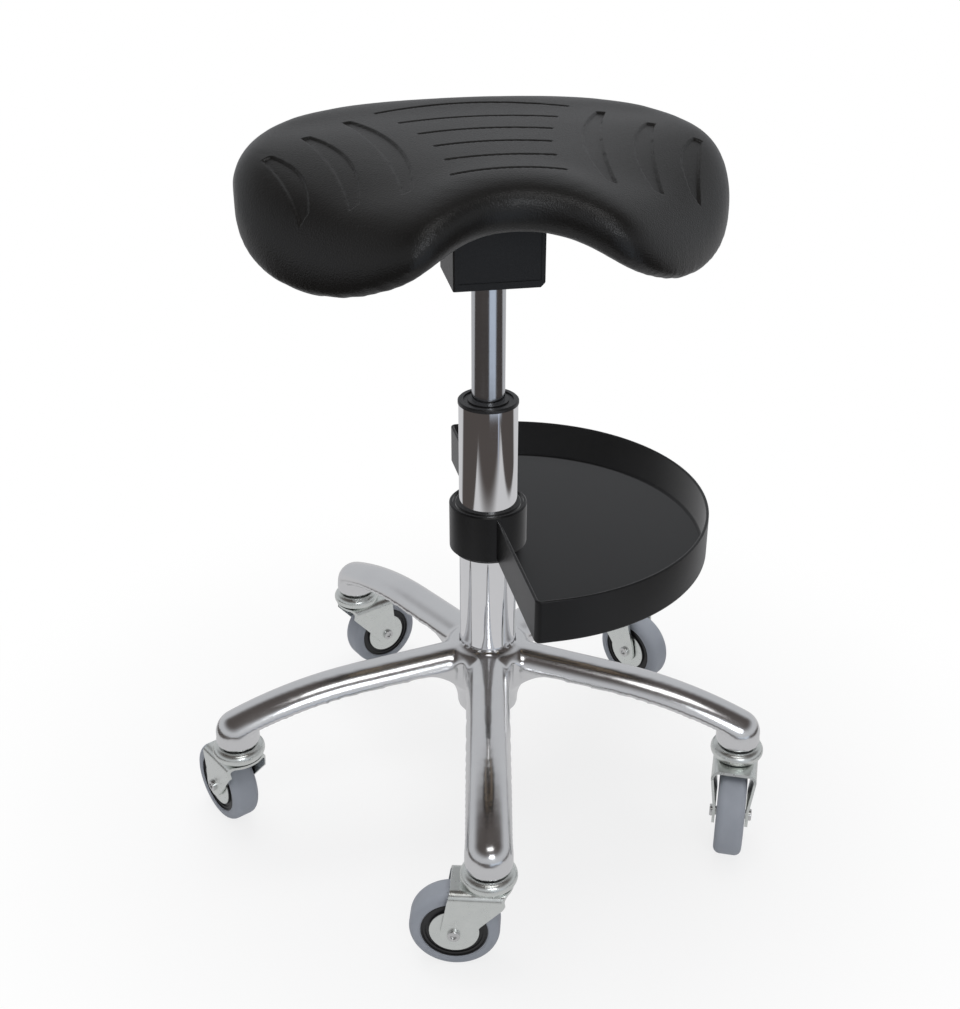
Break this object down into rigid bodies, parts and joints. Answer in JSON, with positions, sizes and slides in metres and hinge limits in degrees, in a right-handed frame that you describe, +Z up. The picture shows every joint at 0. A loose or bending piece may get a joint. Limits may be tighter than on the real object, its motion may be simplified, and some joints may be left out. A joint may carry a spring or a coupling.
{
  "type": "saddle stool",
  "caption": "Saddle stool with a split-front moulded seat on a gas lift, a chromed column with a swinging D-shaped tray, and a polished star base on trailing castors.",
  "frame": {"origin": "on the floor, on the axis of the column", "axes": "+Z up along the column; -Y towards the front leg and the split of the seat; +X to the side the tray is swung to"},
  "size_m": [0.5098, 0.486, 0.6164],
  "materials": {
    "polished_aluminium": "mirror polished cast aluminium with faint polishing lines",
    "chrome": "bright chrome plate",
    "cap_plating": "dark satin plated cap",
    "zinc_plate": "bright zinc plate, faintly mottled",
    "bright_steel": "plain bright steel",
    "race_steel": "ground bearing steel",
    "wheel_black": "black moulded nylon",
    "grey_tyre": "blue-grey non-marking rubber",
    "seat_skin": "black self-skinned foam with a fine leather grain",
    "tray_black": "black moulded plastic, fine satin texture",
    "cover_black": "black moulded plastic",
    "pale_sleeve": "natural acetal",
    "buffer_rubber": "black rubber",
    "painted_steel": "black powder coat",
    "birch_board": "birch plywood"
  },
  "bodies": {
    "base": {"star_base": "polished_aluminium", "castor_sleeves": "pale_sleeve", "column_tube": "chrome", "guide_bush": "cap_plating", "lower_race": "race_steel", "castor_stems": "zinc_plate", "swivel_races": "race_steel", "swivel_balls": "bright_steel"},
    "lift_rod": {"piston_rod": "bright_steel", "thrust_balls": "bright_steel", "upper_race": "race_steel", "rubber_buffer": "buffer_rubber", "rod_clip": "bright_steel"},
    "seat": {"gas_cylinder": "chrome", "rod_guide": "pale_sleeve", "taper_socket": "painted_steel", "mechanism_channel": "painted_steel", "seat_plate": "painted_steel", "housing_cover": "cover_black", "cover_screws": "bright_steel", "lever_pin": "bright_steel", "seat_board": "birch_board", "board_inserts": "bright_steel", "seat_bolts": "bright_steel", "seat_pad": "seat_skin"},
    "lever": {"release_lever": "bright_steel", "lever_grip": "cover_black"},
    "valve": {"valve_pin": "bright_steel"},
    "tray_carrier": {"tray_liner": "pale_sleeve"},
    "tray": {"tray": "tray_black"},
    "castor_1": {"fork_1": "zinc_plate", "axle_bolt_1": "bright_steel"},
    "wheel_1": {"tyre_1": "grey_tyre", "rim_1": "wheel_black", "hub_guards_1": "zinc_plate"},
    "castor_2": {"fork_2": "zinc_plate", "axle_bolt_2": "bright_steel"},
    "wheel_2": {"tyre_2": "grey_tyre", "rim_2": "wheel_black", "hub_guards_2": "zinc_plate"},
    "castor_3": {"fork_3": "zinc_plate", "axle_bolt_3": "bright_steel"},
    "wheel_3": {"tyre_3": "grey_tyre", "rim_3": "wheel_black", "hub_guards_3": "zinc_plate"},
    "castor_4": {"fork_4": "zinc_plate", "axle_bolt_4": "bright_steel"},
    "wheel_4": {"tyre_4": "grey_tyre", "rim_4": "wheel_black", "hub_guards_4": "zinc_plate"},
    "castor_5": {"fork_5": "zinc_plate", "axle_bolt_5": "bright_steel"},
    "wheel_5": {"tyre_5": "grey_tyre", "rim_5": "wheel_black", "hub_guards_5": "zinc_plate"}
  },
  "joints": [
    {"name": "seat_turn", "type": "hinge", "parent": "base", "child": "lift_rod", "pos_m": [0, 0, 0.1], "axis": [0, 0, 1], "continuous": true},
    {"name": "seat_lift", "type": "slide", "parent": "lift_rod", "child": "seat", "axis": [0, 0, 1], "range_m": [-0.1, 0.03]},
    {"name": "lever_pull", "type": "hinge", "parent": "seat", "child": "lever", "pos_m": [-0.01968, -0.00358, 0.5505], "axis": [-0.1788, 0.9839, 0], "range_deg": [0, 7.2], "stiffness_Nm_per_rad": 2, "springref_deg": -8.59},
    {"name": "valve_press", "type": "slide", "parent": "seat", "child": "valve", "axis": [0, 0, 1], "range_m": [-0.0031, 0]},
    {"name": "tray_height", "type": "slide", "parent": "base", "child": "tray_carrier", "axis": [0, 0, 1], "range_m": [-0.085, 0.07]},
    {"name": "tray_swing", "type": "hinge", "parent": "tray_carrier", "child": "tray", "pos_m": [0, 0, 0.275], "axis": [0, 0, 1], "continuous": true},
    {"name": "castor_swivel_1", "type": "hinge", "parent": "base", "child": "castor_1", "pos_m": [0, -0.2315, 0.085], "axis": [0, 0, 1], "continuous": true},
    {"name": "wheel_spin_1", "type": "hinge", "parent": "castor_1", "child": "wheel_1", "pos_m": [-0.02685, -0.22986, 0.0365], "axis": [-0.0611, -0.9981, 0], "continuous": true},
    {"name": "castor_swivel_2", "type": "hinge", "parent": "base", "child": "castor_2", "pos_m": [0.22017, -0.07154, 0.085], "axis": [0, 0, 1], "continuous": true},
    {"name": "wheel_spin_2", "type": "hinge", "parent": "castor_2", "child": "wheel_2", "pos_m": [0.21453, -0.09784, 0.0365], "axis": [0.9778, -0.2096, 0], "continuous": true},
    {"name": "castor_swivel_3", "type": "hinge", "parent": "base", "child": "castor_3", "pos_m": [0.13607, 0.18729, 0.085], "axis": [0, 0, 1], "continuous": true},
    {"name": "wheel_spin_3", "type": "hinge", "parent": "castor_3", "child": "wheel_3", "pos_m": [0.15519, 0.16837, 0.0365], "axis": [0.7034, 0.7108, 0], "continuous": true},
    {"name": "castor_swivel_4", "type": "hinge", "parent": "base", "child": "castor_4", "pos_m": [-0.13607, 0.18729, 0.085], "axis": [0, 0, 1], "continuous": true},
    {"name": "wheel_spin_4", "type": "hinge", "parent": "castor_4", "child": "wheel_4", "pos_m": [-0.11417, 0.20291, 0.0365], "axis": [-0.5807, 0.8141, 0], "continuous": true},
    {"name": "castor_swivel_5", "type": "hinge", "parent": "base", "child": "castor_5", "pos_m": [-0.22017, -0.07154, 0.085], "axis": [0, 0, 1], "continuous": true},
    {"name": "wheel_spin_5", "type": "hinge", "parent": "castor_5", "child": "wheel_5", "pos_m": [-0.23692, -0.05049, 0.0365], "axis": [-0.7826, -0.6225, 0], "continuous": true}
  ],
  "couplings": [
    {"joint": "valve_press", "follows": "lever_pull", "m_per_rad": -0.024}
  ]
}
